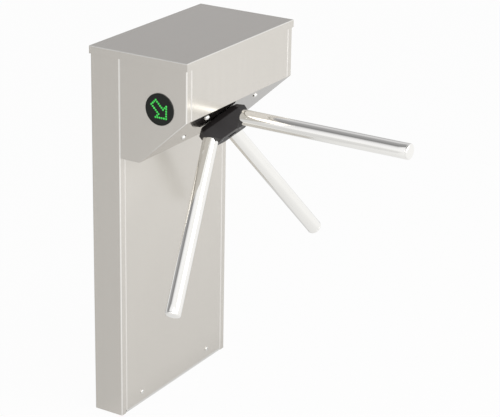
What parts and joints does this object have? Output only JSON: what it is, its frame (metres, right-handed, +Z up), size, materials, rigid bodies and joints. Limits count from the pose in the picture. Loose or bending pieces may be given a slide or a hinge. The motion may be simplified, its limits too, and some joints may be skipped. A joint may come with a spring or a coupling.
{
  "type": "tripod turnstile",
  "caption": "Floor-standing tripod turnstile: slim stainless column, overhanging head with slanted underside, black hub and chrome tube arms that turn to let people through.",
  "frame": {"origin": "on the floor, at the centre of the column's footprint and of its anchor holes", "axes": "+Z up, -Y the side on which the head overhangs and the arms sweep, X side to side"},
  "size_m": [0.721, 0.7541, 0.98],
  "materials": {
    "stainless": "brushed",
    "chrome": "polished",
    "hub_black": "satin",
    "machined_steel": "machined",
    "plated_steel": "zinc plated",
    "housing_alloy": "machined",
    "pinion_brass": "machined",
    "black_plastic": "matt",
    "lamp_green": "gloss",
    "board_green": "satin"
  },
  "bodies": {
    "cabinet": {"base_plate": "plated_steel", "column_shell": "stainless", "column_front_panel": "stainless", "column_panel_screws": "plated_steel", "head_side_left": "stainless", "head_side_right": "stainless", "head_front_panel": "stainless", "slant_panel": "stainless", "indicator_housings": "black_plastic", "indicator_lamps_left": "lamp_green", "indicator_lamps_right": "lamp_green", "mechanism_plate": "plated_steel", "rear_plate": "plated_steel", "plate_pillars": "machined_steel", "mechanism_bolts": "plated_steel", "rear_plate_bolts": "plated_steel", "bearing_housing": "housing_alloy", "housing_screws": "plated_steel", "shaft_bearings": "machined_steel", "entry_solenoid": "black_plastic", "exit_solenoid": "black_plastic", "pawl_pins": "machined_steel", "rotary_damper": "black_plastic", "position_sensor": "black_plastic", "sensor_bracket": "plated_steel", "control_board": "board_green", "board_components": "black_plastic", "board_standoffs": "plated_steel", "power_supply": "housing_alloy"},
    "lid": {"lid": "stainless"},
    "tripod": {"hub": "hub_black", "hub_shaft": "machined_steel", "hub_bolt": "plated_steel", "shaft_keys": "machined_steel", "index_disc": "machined_steel", "main_gear": "machined_steel", "shaft_locknut": "plated_steel", "arm_1": "chrome", "arm_2": "chrome", "arm_3": "chrome", "arm_end_caps": "chrome", "arm_grub_screws": "machined_steel"},
    "damper_pinion": {"damper_pinion": "pinion_brass"},
    "entry_pawl": {"entry_pawl": "machined_steel"},
    "exit_pawl": {"exit_pawl": "machined_steel"},
    "entry_plunger": {"entry_plunger": "machined_steel"},
    "exit_plunger": {"exit_plunger": "machined_steel"}
  },
  "joints": [
    {"name": "tripod_spin", "type": "hinge", "parent": "cabinet", "child": "tripod", "pos_m": [0, -0.1749, 0.77464], "axis": [0, -0.6756, -0.7373], "continuous": true},
    {"name": "damper_spin", "type": "hinge", "parent": "cabinet", "child": "damper_pinion", "pos_m": [0, -0.15621, 0.88976], "axis": [0, -0.6756, -0.7373], "continuous": true},
    {"name": "entry_pawl_swing", "type": "hinge", "parent": "cabinet", "child": "entry_pawl", "pos_m": [-0.09, -0.08347, 0.81225], "axis": [0, 0.6756, 0.7373], "range_deg": [0, 3.5]},
    {"name": "exit_pawl_swing", "type": "hinge", "parent": "cabinet", "child": "exit_pawl", "pos_m": [0.09, -0.08347, 0.81225], "axis": [0, -0.6756, -0.7373], "range_deg": [0, 3.5]},
    {"name": "entry_plunger_slide", "type": "slide", "parent": "cabinet", "child": "entry_plunger", "axis": [0, -0.7373, 0.6756], "range_m": [0, 0.00171], "stiffness_N_per_m": 500, "springref_m": -0.004},
    {"name": "exit_plunger_slide", "type": "slide", "parent": "cabinet", "child": "exit_plunger", "axis": [0, -0.7373, 0.6756], "range_m": [0, 0.00171], "stiffness_N_per_m": 500, "springref_m": -0.004},
    {"name": "lid_lift", "type": "slide", "parent": "cabinet", "child": "lid", "axis": [0, 0, 1], "range_m": [0, 0.1]}
  ],
  "couplings": [
    {"joint": "damper_spin", "follows": "tripod_spin", "ratio": -3},
    {"joint": "entry_pawl_swing", "follows": "entry_plunger_slide", "rad_per_m": 35.714},
    {"joint": "exit_pawl_swing", "follows": "exit_plunger_slide", "rad_per_m": 35.714}
  ]
}
